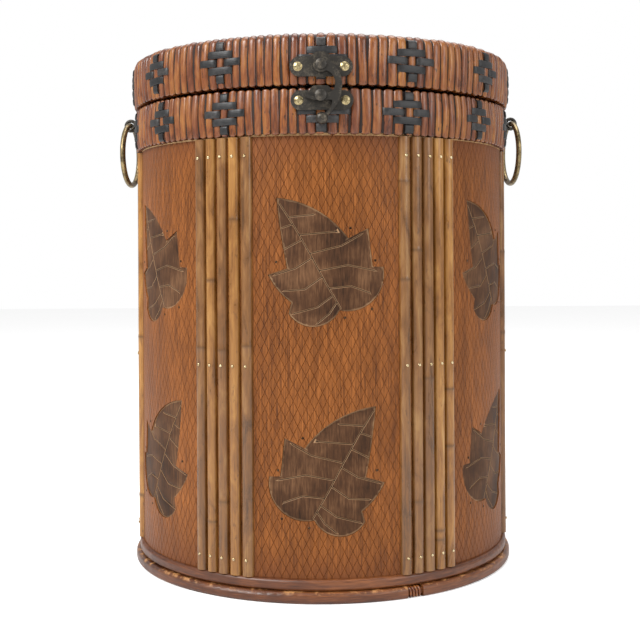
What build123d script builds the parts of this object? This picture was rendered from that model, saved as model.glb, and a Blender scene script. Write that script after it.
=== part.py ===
"""Round wicker storage chest with a hinged lid, a swing-hook latch and two ring handles.

Millimetres, +Z up. The origin is on the floor at the middle of the drum, and the front, with the latch,
faces -Y. A piece that repeats round the drum is modelled at the front and turned about the drum's axis.
"""

from build123d import *
import os
from math import asin, cos, degrees, radians, sin, sqrt

# The drum
chest_height = 365.0
wall_bore_radius = 128.0
wall_thickness = 3.0
wall_foot_height = 0.0
seam_height = 330.0
glue_gap = 0.1

# Base
base_board_thickness = 6.0
lower_moulding_radius = 139.8
lower_moulding_height = 7.5
upper_moulding_radius = 137.2
upper_moulding_height = 7.5
moulding_edge = 2.4

# Panels and their leaves
panel_count = 6
pattern_turn = 1.3
panel_thickness = 3.2
panel_joint = 0.3
leaf_pocket_depth = 1.7
leaf_thickness = 0.9
leaf_fit = 0.15
leaf_half_width = 37.6
leaf_upper_height = 218.0
leaf_lower_height = 83.4

# Split bamboo poles and their pins
pole_width = 8.2
pole_thickness = 3.7
poles_in_group = 5
pole_pitch = 3.8
pin_heights = (25.5, 150.7, 287.0)
pin_head_diameter = 2.1
pin_head_height = 0.7
pin_shank_diameter = 1.2
pin_length = 5.4
brad_head_diameter = 1.7
brad_head_height = 0.35
brad_shank_diameter = 0.9
brad_length = 2.6
nail_fit = 0.04

# Rim of the body
rim_foot_height = 299.2
rim_radius = 139.7
rim_bulge = 1.3
hoop_thickness = 3.3
wrap_edge = 1.6
seam_gap = 0.6
rim_cap = 2.4

# Lid
lid_radius = 141.0
lid_bulge = 1.3
lid_top_edge = 6.0
lid_panel_thickness = 4.0
lid_panel_drop = 3.5
lid_moulding_width = 4.2
lid_moulding_height = 3.0
lid_moulding_set_in = 0.3
wrap_flange = 2.2

# Woven black cane: where its motifs stand round the rim and the lid, and the strands between them
lid_motif_angles = [-54.0, -27.7, 0.0, 25.2, 54.8]
lid_strands_between = [10, 12, 9, 11]
lid_back_strands = [11, 11, 11, 10, 11, 11, 11, 10, 11]
rim_motif_angles = [-52.0, -27.0, 0.0, 24.6, 51.6]
rim_strands_between = [10, 11, 8, 11]
rim_back_strands = [10] * 10
weaver_thickness = 0.6
weaver_fit = 0.06
weaver_row_pitch = 5.3
weaver_width = 4.7
smallest_strip = 2.5

# Latch, placed from its pivot
pivot_height = 343.3
pivot_side = 0.4
plate_thickness = 1.2
latch_plate_length = 40.2
latch_plate_width = 12.9
latch_plate_centre = (0.1, -1.1)
catch_plate_length = 40.0
catch_plate_width = 12.6
catch_plate_centre = (0.6, -22.4)
plate_seat_gap = 0.1
plate_screw_reach = 15.0
latch_boss_radius = 8.4
catch_boss_radius = 8.0
boss_shoulder = 0.9
boss_height = 0.4
arm_thickness = 2.0
arm_gap = 0.35
arm_eye_radius = 5.2
arm_ball_radius = 3.9
arm_ball_half_depth = 2.4
arm_ball_place = (0.3, -34.2)
pivot_shank_radius = 1.8
pivot_clearance = 0.05
pivot_head_radius = 3.45
pivot_head_height = 1.3
post_place = (-0.3, -19.8)
post_shank_radius = 1.1
post_head_radius = 3.7
post_head_height = 1.8
tongue_gap = 0.3
tongue_width = 2.0
latch_open_angle = 120.0

# Screws
screw_head_radius = 3.0
screw_head_height = 1.0
screw_shank_radius = 1.1
screw_length = 8.0
screw_fit = 0.05
screw_slot_width = 0.8
screw_slot_length = 3.6
screw_slot_depth = 0.6

# Hinge at the back
hinge_length = 30.0
hinge_leaf_height = 20.0
hinge_leaf_thickness = 1.6
hinge_barrel_radius = 2.6
hinge_pin_radius = 1.2
hinge_clearance = 0.05
hinge_knuckles = 5
hinge_knuckle_gap = 0.2
hinge_seat_fit = 0.3
hinge_seat_depth = 1.0
hinge_screw_reach = 10.0
hinge_screw_height = 12.0

# Ring handles
handle_angle = 96.0
ring_outer_radius = 25.0
ring_wire_radius = 2.05
ring_standoff = 148.0
ring_foot_height = 275.7
eye_wire_radius = 1.3
eye_play = 0.45
eye_plate_radius = 6.0
eye_plate_thickness = 1.4
eye_stem_radius = 2.2
eye_bolt_radius = 1.6
nut_radius = 3.6
nut_thickness = 2.4

# Cane binding of the lower moulding's joint
binding_angle = 25.5
binding_turns = 4
binding_wire_radius = 0.85
binding_pitch = 2.2
binding_bend = 1.9
binding_play = 0.15
binding_waist_edge = 1.15

# Sizes that follow from those above
wall_radius = wall_bore_radius + wall_thickness
panel_inner = wall_radius + glue_gap
panel_radius = panel_inner + panel_thickness
ledge_height = lower_moulding_height + upper_moulding_height
hoop_inner = wall_radius + glue_gap
hoop_radius = hoop_inner + hoop_thickness
wrap_inner = hoop_radius + glue_gap
lid_foot_height = seam_height + seam_gap / 2
rim_top_height = seam_height - seam_gap / 2
rim_cap_foot = rim_top_height - rim_cap
lid_panel_foot = chest_height - lid_panel_drop - lid_panel_thickness
lid_panel_top = chest_height - lid_panel_drop
pole_crown = panel_radius + glue_gap / 2 + pole_thickness

os.makedirs("parts", exist_ok=True)


def save(shape, node):
    export_step(shape, f"parts/{node}.step")


def turned(shape, angle):
    """The shape, turned round the drum's axis from the front towards the right."""
    return Rot(0, 0, angle) * shape


def group(solids):
    """Separate solids kept together in one node."""
    return Compound(children=list(solids))


def front_plane(distance):
    """A plane square to the view from the front, at a distance before the drum's axis."""
    return Plane.XZ.offset(distance)


def outline(*edges):
    return make_face(Wire(edges))


def ring(profile):
    return revolve(Plane.XZ * profile, Axis.Z)


def sector(profile, start, arc):
    """Part of a ring, from a start angle, measured from the front, over an arc."""
    return turned(revolve(Plane.XZ * profile, Axis.Z, revolution_arc=arc), start - 90)


def block(inner, outer, foot, top):
    """Rectangular profile of a ring."""
    middle = ((inner + outer) / 2, (foot + top) / 2)
    return Pos(*middle) * Rectangle(outer - inner, top - foot)


def tube(inner, outer, foot, top):
    return ring(block(inner, outer, foot, top))


def cap(radius, height, foot=0.0):
    """Profile of a spherical cap on its own axis, from its rim over its top and back."""
    ball = (radius**2 + height**2) / (2 * height)
    lean = asin(min(1.0, radius / ball)) / 2
    middle = (ball * sin(lean), foot + height - ball + ball * cos(lean))
    rim, top = (radius, foot), (0, foot + height)
    return [Line((0, 0), (radius, 0))] + joined(*([(radius, 0), rim] if foot else [])) + [
        ThreePointArc(rim, middle, top),
        Line(top, (0, 0)),
    ]


def joined(*points):
    return [Line(one, two) for one, two in zip(points, points[1:])]


def peg(radius, inner, outer, side=0.0, height=0.0):
    """A round bar along the view from the front, between two distances before the axis."""
    return extrude(front_plane(inner) * Pos(side, height) * Circle(radius), outer - inner)


def bulge_radius(radius, bulge, foot, top, height):
    """How far a bulging band stands out at a height: most at its middle, by its bulge."""
    half = (top - foot) / 2
    curve = (half**2 + bulge**2) / (2 * bulge)
    offset = height - (foot + top) / 2
    return radius - curve + sqrt(curve**2 - offset**2)


# Base and wall


def base_board():
    board = Cylinder(wall_bore_radius - glue_gap, base_board_thickness)
    return Pos(0, 0, wall_foot_height + base_board_thickness / 2) * board


def drum_wall():
    return tube(wall_bore_radius, wall_radius, wall_foot_height, rim_cap_foot)


def moulding(radius, foot, top):
    """A bent wooden hoop with rounded outer edges."""
    profile = block(panel_inner, radius, foot, top)
    outer_corners = profile.vertices().group_by(Axis.X)[-1]
    return ring(fillet(outer_corners, moulding_edge))


def binding_core():
    """The waist of the lower moulding that the cane binding goes round: its four sides."""
    wire = 2 * binding_wire_radius + binding_play
    inner = panel_inner + wire
    outer = lower_moulding_radius - wire
    return inner, outer, wire, lower_moulding_height - wire


def binding_half_width():
    return (binding_turns * binding_pitch + 2 * binding_wire_radius) / 2 + 0.4


def base_moulding_lower():
    hoop = moulding(lower_moulding_radius, 0, lower_moulding_height)
    inner, outer, foot, top = binding_core()
    reach = outer - inner
    width = 2 * binding_half_width()
    slab = Pos(0, -(inner + outer) / 2, lower_moulding_height / 2) * Box(width, 4 * reach, 20)
    waist = Box(width, reach, top - foot)
    waist = fillet(waist.edges().filter_by(Axis.X), binding_waist_edge)
    waist = Pos(0, -(inner + outer) / 2, (foot + top) / 2) * waist
    return hoop - turned(slab - waist, binding_angle)


def base_moulding_upper():
    return moulding(upper_moulding_radius, lower_moulding_height, ledge_height)


def base_binding():
    """One unbroken strand of cane, wound round the waist of the lower moulding."""
    inner, outer, foot, top = binding_core()
    half = binding_wire_radius + binding_play / 2
    sides = [
        (-(inner - half), top + half),
        (-(outer + half), top + half),
        (-(outer + half), foot - half),
        (-(inner - half), foot - half),
    ]
    start = -binding_turns * binding_pitch / 2
    corners = [
        Vector(start + binding_pitch * index / 4, *sides[index % 4])
        for index in range(4 * binding_turns + 1)
    ]
    path = FilletPolyline(*corners, radius=binding_bend)
    strand = sweep(Plane(path @ 0, z_dir=path % 0) * Circle(binding_wire_radius), path)
    samples = [path @ (index / 800) for index in range(801)]
    near = int(800 / binding_turns / 2)
    gap = min(
        (samples[one] - samples[two]).length
        for one in range(0, 801, 4)
        for two in range(one + near, 801, 4)
    )
    print("binding: least gap to itself", round(gap - 2 * binding_wire_radius, 2), "mm")
    return turned(strand, binding_angle)


# Panels, leaves and poles


def leaf_outline(mirrored=False):
    """A scalloped leaf, 75 by 83 mm, about its own centre: its tip is up on the left."""
    edges = [
        ThreePointArc((-31.9, 41.6), (-5.9, 33.5), (14.4, 15.3)),
        Line((14.4, 15.3), (27.5, 21.8)),
        ThreePointArc((27.5, 21.8), (28.9, 9.6), (30.4, -3.0)),
        Line((30.4, -3.0), (37.6, -3.3)),
        ThreePointArc((37.6, -3.3), (30.6, -25.0), (8.5, -31.1)),
        ThreePointArc((8.5, -31.1), (-8.6, -41.6), (-24.5, -33.1)),
        Line((-24.5, -33.1), (-22.6, -25.9)),
        ThreePointArc((-22.6, -25.9), (-31.5, -17.6), (-37.6, -7.9)),
        Line((-37.6, -7.9), (-25.2, -4.0)),
        ThreePointArc((-25.2, -4.0), (-29.2, 18.5), (-31.9, 41.6)),
    ]
    face = outline(*edges)
    return mirror(face, Plane.YZ) if mirrored else face


brad_places = [(15.7, 21.8), (-32.4, 0.3), (32.0, 0.9), (29.7, -30.2), (11.8, -35.7)]


def leaf_bar(mirrored, height, fit=0.0):
    """The leaf's outline carried through the wall, seen square from the front."""
    size = 1 - fit / leaf_half_width
    face = scale(leaf_outline(mirrored), size)
    return extrude(front_plane(wall_bore_radius - 20) * Pos(0, height) * face, 60)


def leaf(mirrored, height):
    inner = panel_radius - leaf_pocket_depth
    skin = tube(inner, inner + leaf_thickness, height - 60, height + 60)
    return leaf_bar(mirrored, height, leaf_fit) & skin


def leaf_pocket(mirrored, height):
    floor = panel_radius - leaf_pocket_depth
    return leaf_bar(mirrored, height) & tube(floor, panel_radius + 5, height - 60, height + 60)


def brad_spots():
    """Angle and height of each brad of one panel, beside the notches of its two leaves."""
    spots = []
    for hand, height in ((1, leaf_upper_height), (-1, leaf_lower_height)):
        for side, rise in brad_places:
            spots.append((degrees(hand * side / panel_radius), height + rise))
    return spots


def nail(shank_diameter, length, head_diameter, head_height, seat):
    """A round-head nail along the view from the front, its head's underside at the seat."""
    dome = outline(*cap(head_diameter / 2, head_height))
    head = Pos(0, -seat, 0) * (Rot(90, 0, 0) * revolve(Plane.XZ * dome, Axis.Z))
    return head + peg(shank_diameter / 2, seat - length, seat)


def pole_group_angles():
    step = 360 / panel_count
    return [pattern_turn + step * (index + 0.5) for index in range(panel_count)]


def pole_offsets():
    middle = (poles_in_group - 1) / 2
    return [pole_pitch * (index - middle) for index in range(poles_in_group)]


def pin_spots():
    return [(offset, height) for offset in pole_offsets() for height in pin_heights]


def panel():
    """One curved panel at the front, with pockets for its leaves and holes for its nails."""
    step = 360 / panel_count
    joint = degrees(panel_joint / panel_radius)
    profile = block(panel_inner, panel_radius, ledge_height, rim_foot_height)
    sheet = sector(profile, (joint - step) / 2, step - joint)
    tools = [leaf_pocket(False, leaf_upper_height), leaf_pocket(True, leaf_lower_height)]
    brad_hole = peg(brad_shank_diameter / 2 + nail_fit, panel_radius - brad_length - 0.1, panel_radius + 1)
    for angle, height in brad_spots():
        tools.append(turned(Pos(0, 0, height) * brad_hole, angle))
    pin_hole = peg(pin_shank_diameter / 2 + nail_fit, pole_crown - pin_length - 0.1, panel_radius + 1)
    for side in (-step / 2, step / 2):
        for offset, height in pin_spots():
            if abs(side + offset) < step / 2 + 1:
                tools.append(turned(Pos(0, 0, height) * pin_hole, side + offset))
    return sheet - tools


def pole():
    """A bamboo cane split in half, flat side to the panel, with holes for its three pins."""
    flat = panel_radius + glue_gap / 2
    half = pole_width / 2
    section = outline(
        Line((-half, -flat), (half, -flat)),
        ThreePointArc((half, -flat), (0, -flat - pole_thickness), (-half, -flat)),
    )
    cane = extrude(Pos(0, 0, ledge_height) * section, rim_foot_height - ledge_height)
    hole = peg(pin_shank_diameter / 2 + nail_fit, flat - 1, pole_crown + 1)
    return cane - [Pos(0, 0, height) * hole for height in pin_heights]


# Wrapped rim and lid band


def bulged_side(radius, bulge, foot, top, lower_edge, upper_edge):
    """The outer side of a band, from its rounded lower edge up to its rounded upper edge."""

    def reach(height):
        return bulge_radius(radius, bulge, foot, top, height)

    low, high = foot + lower_edge, top - upper_edge
    turn = 1 - sqrt(0.5)
    return [
        ThreePointArc(
            (reach(low) - lower_edge, foot),
            (reach(low) - lower_edge * turn, foot + lower_edge * turn),
            (reach(low), low),
        ),
        ThreePointArc((reach(low), low), (reach((low + high) / 2), (low + high) / 2), (reach(high), high)),
        ThreePointArc(
            (reach(high), high),
            (reach(high) - upper_edge * turn, top - upper_edge * turn),
            (reach(high) - upper_edge, top),
        ),
    ]


def rim_hoop():
    return tube(hoop_inner, hoop_radius, rim_foot_height, rim_cap_foot)


def rim_wrap():
    """Rattan wound over the rim: down its outside and over the top edge of the wall."""
    side = bulged_side(rim_radius, rim_bulge, rim_foot_height, rim_top_height, wrap_edge, wrap_edge)
    start, end = side[0] @ 0, side[-1] @ 1
    closing = joined(
        (end.X, end.Y),
        (wall_bore_radius, rim_top_height),
        (wall_bore_radius, rim_cap_foot),
        (wrap_inner, rim_cap_foot),
        (wrap_inner, rim_foot_height),
        (start.X, start.Y),
    )
    return ring(outline(*side, *closing))


def lid_hoop():
    return tube(hoop_inner, hoop_radius, lid_foot_height + wrap_flange, lid_panel_foot)


def lid_wrap():
    """Rattan wound over the lid's hoop, turned in under its lower edge."""
    side = bulged_side(lid_radius, lid_bulge, lid_foot_height, chest_height, wrap_edge, lid_top_edge)
    start, end = side[0] @ 0, side[-1] @ 1
    closing = joined(
        (end.X, end.Y),
        (wrap_inner, chest_height),
        (wrap_inner, lid_foot_height + wrap_flange),
        (hoop_inner, lid_foot_height + wrap_flange),
        (hoop_inner, lid_foot_height),
        (start.X, start.Y),
    )
    return ring(outline(*side, *closing))


def lid_panel():
    board = Cylinder(hoop_radius, lid_panel_thickness)
    return Pos(0, 0, lid_panel_foot + lid_panel_thickness / 2) * board


def lid_moulding():
    outer = hoop_radius - lid_moulding_set_in
    inner = outer - lid_moulding_width
    profile = outline(
        Line((inner, lid_panel_top), (outer, lid_panel_top)),
        ThreePointArc(
            (outer, lid_panel_top),
            ((inner + outer) / 2, lid_panel_top + lid_moulding_height),
            (inner, lid_panel_top),
        ),
    )
    return ring(profile)


def strand_steps(angles, between, back):
    """Every motif's middle angle, and the angle from one strand to the next on its right."""
    rest = 360 - (angles[-1] - angles[0])
    motifs = list(angles)
    strands = list(between) + list(back)
    for index in range(1, len(back)):
        motifs.append(angles[-1] + rest * index / len(back))
    ends = motifs[1:] + [angles[0] + 360]
    steps = [(after - here) / count for here, after, count in zip(motifs, ends, strands)]
    return motifs, steps


def weavers(angles, between, back, radius, bulge, foot, top):
    """Black cane woven through the strands: three rows across and one upright at each motif."""
    middle = (foot + top) / 2
    motifs, steps = strand_steps(angles, between, back)

    def strip(row, start, end):
        low = middle + weaver_row_pitch * row - weaver_width / 2
        high = low + weaver_width
        centre = (low + high) / 2
        heights = (low, centre, high)
        inside = [bulge_radius(radius, bulge, foot, top, height) + weaver_fit for height in heights]
        outside = [reach + weaver_thickness for reach in inside]
        profile = outline(
            ThreePointArc((inside[0], low), (inside[1], centre), (inside[2], high)),
            Line((inside[2], high), (outside[2], high)),
            ThreePointArc((outside[2], high), (outside[1], centre), (outside[0], low)),
            Line((outside[0], low), (inside[0], low)),
        )
        return sector(profile, start, end - start)

    strips = []
    for index, angle in enumerate(motifs):
        left, right = steps[index - 1], steps[index]
        strips.append(strip(2, angle - left * 0.42, angle + right * 0.42))
        strips.append(strip(1, angle - left * 1.4, angle + right * 1.4))
        strips.append(strip(0, angle - left * 2.4, angle - left * 0.6))
        strips.append(strip(0, angle + right * 0.6, angle + right * 2.4))
        strips.append(strip(-1, angle - left * 1.4, angle + right * 1.4))
        strips.append(strip(-2, angle - left * 0.42, angle + right * 0.42))
    return strips


# Latch


def stadium(length, width, centre):
    """A plate's face, round at both ends, about the latch's pivot."""
    side = pivot_side + centre[0]
    height = pivot_height + centre[1]
    return Pos(side, height) * SlotOverall(length, width)


def plate_back(radius):
    return radius + plate_seat_gap


def bent_plate(face, radius, boss_place, boss_radius):
    """A plate bent to the band, widened round its boss, which is raised in a shallow step."""
    back = plate_back(radius)
    front = back + plate_thickness
    foot, top = pivot_height - 60, pivot_height + 60
    side, height = latch_point(*boss_place)
    outline_face = face + Pos(side, height) * Circle(boss_radius)
    plate = extrude(front_plane(back - 8) * outline_face, 20) & tube(back, front, foot, top)
    return plate + peg(boss_radius - boss_shoulder, front - 1, front + boss_height, side, height)


def latch_point(side, height):
    return pivot_side + side, pivot_height + height


def arm_back():
    return plate_back(lid_radius) + plate_thickness + boss_height + arm_gap


def screw_spots(centre):
    return [latch_point(centre[0] + hand * plate_screw_reach, centre[1]) for hand in (-1, 1)]


def screw(seat):
    """A cross-slot screw along the view from the front, its head's underside at the seat."""
    dome = outline(*cap(screw_head_radius, screw_head_height))
    head = Pos(0, -seat, 0) * (Rot(90, 0, 0) * revolve(Plane.XZ * dome, Axis.Z))
    body = head + peg(screw_shank_radius, seat - screw_length, seat)
    slot = Box(screw_slot_length, 2 * screw_slot_depth, screw_slot_width)
    cross = slot + Rot(0, 90, 0) * slot
    return body - Pos(0, -seat - screw_head_height, 0) * cross


def on_band(shape, side, height, radius):
    """Turn a screw, made at the front, to stand square to a bent plate."""
    return turned(Pos(0, 0, height) * shape, degrees(side / radius))


def screws_on(spots, radius):
    seat = plate_back(radius) + plate_thickness
    return [on_band(screw(seat), side, height, seat) for side, height in spots]


def screw_holes(spots, radius):
    seat = plate_back(radius) + plate_thickness
    hole = peg(screw_shank_radius + screw_fit, seat - screw_length - 0.2, seat + 3)
    return [on_band(hole, side, height, seat) for side, height in spots]


def latch_holes():
    """Holes for the screws and the pivot in what carries the upper plate."""
    side, height = latch_point(0, 0)
    pivot = peg(pivot_shank_radius + pivot_clearance, lid_radius - 2, arm_back() + 1, side, height)
    return screw_holes(screw_spots(latch_plate_centre), lid_radius) + [pivot]


def catch_holes():
    side, height = latch_point(*post_place)
    post = peg(post_shank_radius + pivot_clearance, rim_radius - 3, arm_back() + 1, side, height)
    return screw_holes(screw_spots(catch_plate_centre), rim_radius) + [post]


def latch_plate():
    face = stadium(latch_plate_length, latch_plate_width, latch_plate_centre)
    return bent_plate(face, lid_radius, (0, 0), latch_boss_radius) - latch_holes()


def catch_plate():
    """The lower plate, its boss trimmed flat just below the lid's foot."""
    face = stadium(catch_plate_length, catch_plate_width, catch_plate_centre)
    over = Pos(0, -rim_radius, lid_foot_height - 0.1 + 10) * Box(60, 40, 20)
    return bent_plate(face, rim_radius, post_place, catch_boss_radius) - catch_holes() - over


def headed_pin(shank_radius, head_radius, head_height, inner, seat, side, height):
    """A round pin with a domed head, along the view from the front."""
    dome = outline(*cap(head_radius, head_height * 0.55, head_height * 0.45))
    head = Pos(side, -seat, height) * (Rot(90, 0, 0) * revolve(Plane.XZ * dome, Axis.Z))
    return head + peg(shank_radius, inner, seat, side, height)


def pivot_rivet():
    seat = arm_back() + arm_thickness + arm_gap
    side, height = latch_point(0, 0)
    return headed_pin(
        pivot_shank_radius, pivot_head_radius, pivot_head_height, lid_radius - 1.8, seat, side, height
    )


def catch_post():
    seat = arm_back() + arm_thickness + arm_gap
    side, height = latch_point(*post_place)
    return headed_pin(post_shank_radius, post_head_radius, post_head_height, rim_radius - 2.8, seat, side, height)


def arm_face():
    """The swinging hook, about its pivot: a curved arm that ends in a thumb ball."""
    arm = outline(
        ThreePointArc((3.4, 3.9), (10.2, -2.8), (13.3, -13.6)),
        ThreePointArc((13.3, -13.6), (10.6, -24.4), (3.0, -33.4)),
        Line((3.0, -33.4), (0.6, -31.6)),
        ThreePointArc((0.6, -31.6), (5.6, -28.0), (7.0, -22.9)),
        Line((7.0, -22.9), (2.4, -22.4)),
        Line((2.4, -22.4), (2.4, -18.4)),
        ThreePointArc((2.4, -18.4), (7.6, -16.3), (8.9, -11.9)),
        ThreePointArc((8.9, -11.9), (7.6, -7.4), (3.0, -4.2)),
        Line((3.0, -4.2), (3.4, 3.9)),
    )
    reach = sqrt(post_place[0] ** 2 + post_place[1] ** 2)
    inner = reach + post_shank_radius + tongue_gap
    middle = inner + tongue_width / 2

    def at(angle, radius):
        return radius * sin(radians(angle)), -radius * cos(radians(angle))

    tongue = outline(
        ThreePointArc(at(-29, inner), at(-8, inner), at(12, inner)),
        Line(at(12, inner), at(12, inner + tongue_width)),
        ThreePointArc(at(12, inner + tongue_width), at(-8, inner + tongue_width), at(-29, inner + tongue_width)),
        ThreePointArc(at(-29, inner + tongue_width), at(-31.5, middle), at(-29, inner)),
    )
    throat = Pos(*post_place) * Circle(post_shank_radius + tongue_gap)
    eye = Circle(arm_eye_radius)
    return eye + arm + tongue + Pos(*arm_ball_place) * Circle(arm_ball_radius * 0.8) - throat


def swing_arm():
    side, height = latch_point(0, 0)
    back = arm_back()
    flat = extrude(front_plane(back) * Pos(side, height) * arm_face(), arm_thickness)
    ball_side, ball_height = latch_point(*arm_ball_place)
    middle = back + arm_thickness / 2
    wide, deep = arm_ball_radius, arm_ball_half_depth
    round_off = outline(
        ThreePointArc((0, deep), (wide * 0.72, deep * 0.72), (wide, 0)),
        ThreePointArc((wide, 0), (wide * 0.72, -deep * 0.72), (0, -deep)),
        Line((0, -deep), (0, deep)),
    )
    ball = Pos(ball_side, -middle, ball_height) * (Rot(90, 0, 0) * revolve(Plane.XZ * round_off, Axis.Z))
    hole = peg(pivot_shank_radius + pivot_clearance, back - 1, back + 4, side, height)
    return flat + ball - hole


# Hinge


def hinge_back():
    """Distance of the hinge leaves' inner faces behind the drum's axis."""
    return rim_radius - hinge_seat_depth


def hinge_axis_distance():
    return hinge_back() + hinge_barrel_radius


def hinge_seat():
    """Flat seat cut in the wraps at the back for both leaves and their barrel."""
    length = hinge_length + 2 * hinge_seat_fit
    height = 2 * hinge_leaf_height + 2 * hinge_seat_fit
    return Pos(0, hinge_back() + 10, seam_height) * Box(length, 20, height)


def hinge_spots(hand):
    height = seam_height + hand * hinge_screw_height
    return [(side, height) for side in (-hinge_screw_reach, hinge_screw_reach)]


def hinge_screw(side, height, grow=0.0):
    """A screw of the hinge, or with grow its hole."""
    seat = hinge_back() + hinge_leaf_thickness
    hole = peg(screw_shank_radius + grow, seat - screw_length - 0.2, seat + 3)
    shape = hole if grow else screw(seat)
    return Rot(0, 0, 180) * (Pos(-side, 0, height) * shape)


def hinge_holes(hand):
    return [hinge_screw(side, height, screw_fit) for side, height in hinge_spots(hand)]


def hinge_leaf(hand, first):
    """One leaf of the hinge with its knuckles, the body's below the seam or the lid's above."""
    back = hinge_back()
    foot = seam_height + (0.3 if hand > 0 else -hinge_leaf_height)
    top = seam_height + (hinge_leaf_height if hand > 0 else -0.3)
    plate = Pos(0, back + hinge_leaf_thickness / 2, (foot + top) / 2) * Box(
        hinge_length, hinge_leaf_thickness, top - foot
    )
    barrel_zone = Pos(0, hinge_axis_distance(), seam_height) * Rot(0, 90, 0)
    plate -= barrel_zone * Cylinder(hinge_barrel_radius + hinge_knuckle_gap, hinge_length + 1)
    pitch = hinge_length / hinge_knuckles
    for index in range(first, hinge_knuckles, 2):
        middle = -hinge_length / 2 + pitch * (index + 0.5)
        width = pitch - (hinge_knuckle_gap if 0 < index < hinge_knuckles - 1 else hinge_knuckle_gap / 2)
        knuckle = Pos(middle, hinge_axis_distance(), seam_height) * Rot(0, 90, 0) * Cylinder(
            hinge_barrel_radius, width
        )
        neck_height = hinge_barrel_radius + 1.2
        neck = Pos(
            middle, back + hinge_leaf_thickness / 2, seam_height + hand * neck_height / 2
        ) * Box(width, hinge_leaf_thickness, neck_height)
        plate = plate + knuckle + neck
    bore = barrel_zone * Cylinder(hinge_pin_radius + hinge_clearance, hinge_length + 2)
    return plate - [bore] - hinge_holes(hand)


def hinge_pin():
    centre = Pos(0, hinge_axis_distance(), seam_height) * Rot(0, 90, 0)
    rod = centre * Cylinder(hinge_pin_radius, hinge_length)
    cap = Cylinder(hinge_barrel_radius * 0.8, 0.8)
    reach = hinge_length / 2 + 0.4
    return rod + centre * Pos(0, 0, reach) * cap + centre * Pos(0, 0, -reach) * cap


# Ring handles


def eye_height():
    return ring_foot_height + 2 * ring_outer_radius - ring_wire_radius


def handle_ring():
    centre_radius = ring_outer_radius - ring_wire_radius
    hoop = Rot(90, 0, 0) * Torus(centre_radius, ring_wire_radius)
    return Pos(0, -ring_standoff, eye_height() - centre_radius) * hoop


def eye_flat():
    """Where the eye's plate sits, on a flat seat cut in the rim."""
    return rim_radius - 0.6


def handle_seat():
    """Flat seat and bolt hole for an eye, cut in the rim at the front and then turned."""
    seat = peg(eye_plate_radius + 0.3, eye_flat(), eye_flat() + 6, 0, eye_height())
    bolt = peg(eye_bolt_radius + 0.1, wall_bore_radius - 2, eye_flat() + 1, 0, eye_height())
    return [seat, bolt]


def handle_eye():
    """A round plate with a stem, the eye that the ring hangs in, and a bolt through the wall."""
    height = eye_height()
    plate = peg(eye_plate_radius, eye_flat() + 0.05, eye_flat() + eye_plate_thickness, 0, height)
    eye_radius = ring_wire_radius + eye_play + eye_wire_radius
    eye = Pos(0, -ring_standoff, height) * (Rot(0, 90, 0) * Torus(eye_radius, eye_wire_radius))
    stem_end = ring_standoff - eye_radius
    stem = peg(eye_stem_radius, eye_flat() + 1, stem_end, 0, height)
    room = Pos(0, -ring_standoff, height) * (Rot(0, 90, 0) * Cylinder(eye_radius - 0.2, 12))
    bolt = peg(eye_bolt_radius, wall_bore_radius - nut_thickness, eye_flat() + 1, 0, height)
    return plate + (stem - room) + eye + bolt


def handle_nut():
    """A hexagonal nut on the bolt's inner end."""
    height = eye_height()
    flat = wall_bore_radius * cos(nut_radius / wall_bore_radius) - 0.05
    face = RegularPolygon(nut_radius, 6) - Circle(eye_bolt_radius + 0.02)
    return extrude(front_plane(flat - nut_thickness) * Pos(0, height) * face, nut_thickness)


# Build and write every piece

sides = ["front", "front_right", "back_right", "back", "back_left", "front_left"]
corners = ["front_right", "right", "back_right", "back_left", "left", "front_left"]
step = 360 / panel_count

save(base_board(), "base_board")
save(base_moulding_lower(), "base_moulding_lower")
save(base_moulding_upper(), "base_moulding_upper")
save(base_binding(), "base_binding")

one_panel = panel()
one_upper = leaf(False, leaf_upper_height)
one_lower = leaf(True, leaf_lower_height)
for index, name in enumerate(sides):
    angle = pattern_turn + step * index
    save(turned(one_panel, angle), f"panel_{name}")
    save(turned(one_upper, angle), f"leaf_upper_{name}")
    save(turned(one_lower, angle), f"leaf_lower_{name}")

one_pole = pole()
for name, angle in zip(corners, pole_group_angles()):
    save(group([turned(one_pole, angle + offset) for offset in pole_offsets()]), f"poles_{name}")

pin = nail(pin_shank_diameter, pin_length, pin_head_diameter, pin_head_height, pole_crown)
pins = [
    turned(Pos(0, 0, height) * pin, angle + offset)
    for angle in pole_group_angles()
    for offset, height in pin_spots()
]
save(group(pins), "pole_pins")

brad = nail(brad_shank_diameter, brad_length, brad_head_diameter, brad_head_height, panel_radius)
brads = [
    turned(Pos(0, 0, height) * brad, pattern_turn + step * index + angle)
    for index in range(panel_count)
    for angle, height in brad_spots()
]
save(group(brads), "leaf_brads")

handle_seats = [turned(tool, hand * handle_angle) for hand in (-1, 1) for tool in handle_seat()]
save(drum_wall() - handle_seats - catch_holes(), "drum_wall")
save(rim_hoop() - handle_seats - catch_holes() - hinge_holes(-1), "rim_hoop")
save(rim_wrap() - handle_seats - catch_holes() - hinge_holes(-1) - [hinge_seat()], "rim_wrap")
rim_zone = (rim_radius, rim_bulge, rim_foot_height, rim_top_height)
rim_strips = weavers(rim_motif_angles, rim_strands_between, rim_back_strands, *rim_zone)

save(lid_hoop() - latch_holes() - hinge_holes(1), "lid_hoop")
save(lid_wrap() - latch_holes() - hinge_holes(1) - [hinge_seat()], "lid_wrap")
save(lid_panel(), "lid_panel")
save(lid_moulding(), "lid_moulding")
lid_zone = (lid_radius, lid_bulge, lid_foot_height, chest_height)
lid_strips = weavers(lid_motif_angles, lid_strands_between, lid_back_strands, *lid_zone)

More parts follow.
